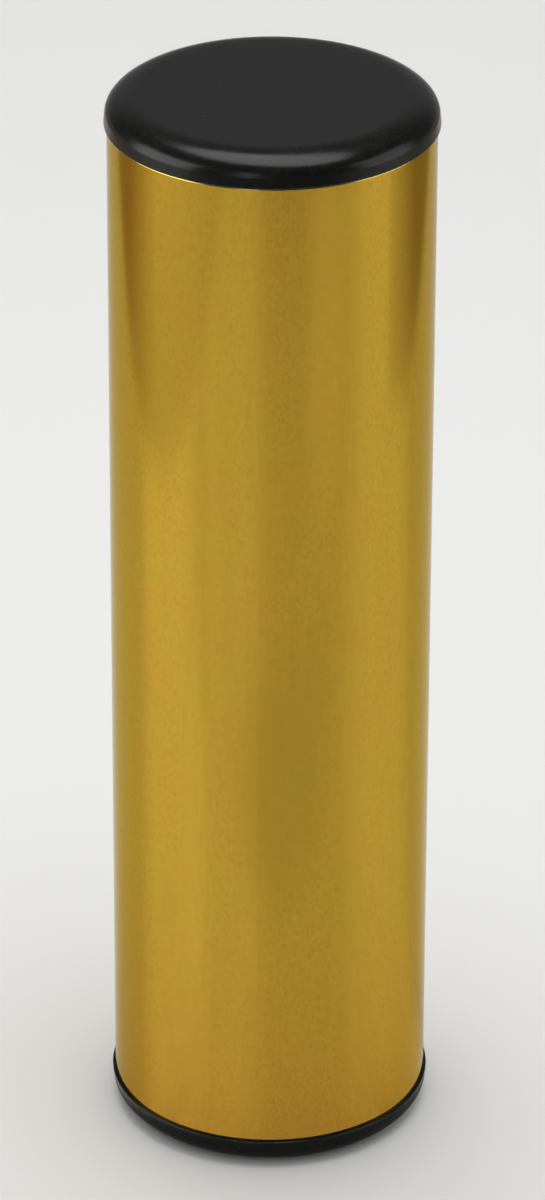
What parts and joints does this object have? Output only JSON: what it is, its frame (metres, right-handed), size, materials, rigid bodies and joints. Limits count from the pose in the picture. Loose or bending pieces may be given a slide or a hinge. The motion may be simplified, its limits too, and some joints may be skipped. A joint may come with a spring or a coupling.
{
  "type": "tube shaker",
  "caption": "Hand-held tube shaker: a straight gold-coloured aluminium tube closed at both ends by black moulded caps, with loose steel shot inside that rattles from end to end.",
  "frame": {"origin": "centre of the lower cap's flat end face, where the shaker stands", "axes": "+Z along the tube's axis from the lower cap to the upper one; X and Y are alike, and -Y faces the picture's camera"},
  "size_m": [0.0508, 0.0508, 0.175],
  "materials": {
    "gold_anodised_aluminium": "drawn and satin polished, then anodised bright gold",
    "black_moulded_plastic": "matt black with a very fine moulded grain",
    "polished_steel": "ground and tumbled bright"
  },
  "bodies": {
    "shaker": {"body_tube": "gold_anodised_aluminium", "top_cap": "black_moulded_plastic", "bottom_cap": "black_moulded_plastic"},
    "shot_set_01": {"shot_set_01": "polished_steel"},
    "shot_set_02": {"shot_set_02": "polished_steel"},
    "shot_set_03": {"shot_set_03": "polished_steel"},
    "shot_set_04": {"shot_set_04": "polished_steel"},
    "shot_set_05": {"shot_set_05": "polished_steel"},
    "shot_set_06": {"shot_set_06": "polished_steel"},
    "shot_set_07": {"shot_set_07": "polished_steel"},
    "shot_set_08": {"shot_set_08": "polished_steel"},
    "shot_set_09": {"shot_set_09": "polished_steel"},
    "shot_set_10": {"shot_set_10": "polished_steel"},
    "shot_set_11": {"shot_set_11": "polished_steel"},
    "shot_set_12": {"shot_set_12": "polished_steel"},
    "shot_set_13": {"shot_set_13": "polished_steel"},
    "shot_set_14": {"shot_set_14": "polished_steel"},
    "shot_set_15": {"shot_set_15": "polished_steel"},
    "shot_set_16": {"shot_set_16": "polished_steel"},
    "shot_set_17": {"shot_set_17": "polished_steel"}
  },
  "joints": [
    {"name": "shot_set_01_slide", "type": "slide", "parent": "shaker", "child": "shot_set_01", "axis": [0, 0, 1], "range_m": [0, 0.1656]},
    {"name": "shot_set_02_slide", "type": "slide", "parent": "shaker", "child": "shot_set_02", "axis": [0, 0, 1], "range_m": [0, 0.1656]},
    {"name": "shot_set_03_slide", "type": "slide", "parent": "shaker", "child": "shot_set_03", "axis": [0, 0, 1], "range_m": [0, 0.1656]},
    {"name": "shot_set_04_slide", "type": "slide", "parent": "shaker", "child": "shot_set_04", "axis": [0, 0, 1], "range_m": [0, 0.1656]},
    {"name": "shot_set_05_slide", "type": "slide", "parent": "shaker", "child": "shot_set_05", "axis": [0, 0, 1], "range_m": [0, 0.1656]},
    {"name": "shot_set_06_slide", "type": "slide", "parent": "shaker", "child": "shot_set_06", "axis": [0, 0, 1], "range_m": [0, 0.1656]},
    {"name": "shot_set_07_slide", "type": "slide", "parent": "shaker", "child": "shot_set_07", "axis": [0, 0, 1], "range_m": [0, 0.1656]},
    {"name": "shot_set_08_slide", "type": "slide", "parent": "shaker", "child": "shot_set_08", "axis": [0, 0, 1], "range_m": [0, 0.1656]},
    {"name": "shot_set_09_slide", "type": "slide", "parent": "shaker", "child": "shot_set_09", "axis": [0, 0, 1], "range_m": [0, 0.1656]},
    {"name": "shot_set_10_slide", "type": "slide", "parent": "shaker", "child": "shot_set_10", "axis": [0, 0, 1], "range_m": [0, 0.1656]},
    {"name": "shot_set_11_slide", "type": "slide", "parent": "shaker", "child": "shot_set_11", "axis": [0, 0, 1], "range_m": [0, 0.1656]},
    {"name": "shot_set_12_slide", "type": "slide", "parent": "shaker", "child": "shot_set_12", "axis": [0, 0, 1], "range_m": [0, 0.1656]},
    {"name": "shot_set_13_slide", "type": "slide", "parent": "shaker", "child": "shot_set_13", "axis": [0, 0, 1], "range_m": [0, 0.1656]},
    {"name": "shot_set_14_slide", "type": "slide", "parent": "shaker", "child": "shot_set_14", "axis": [0, 0, 1], "range_m": [0, 0.1656]},
    {"name": "shot_set_15_slide", "type": "slide", "parent": "shaker", "child": "shot_set_15", "axis": [0, 0, 1], "range_m": [0, 0.1656]},
    {"name": "shot_set_16_slide", "type": "slide", "parent": "shaker", "child": "shot_set_16", "axis": [0, 0, 1], "range_m": [0, 0.1656]},
    {"name": "shot_set_17_slide", "type": "slide", "parent": "shaker", "child": "shot_set_17", "axis": [0, 0, 1], "range_m": [0, 0.1656]}
  ]
}
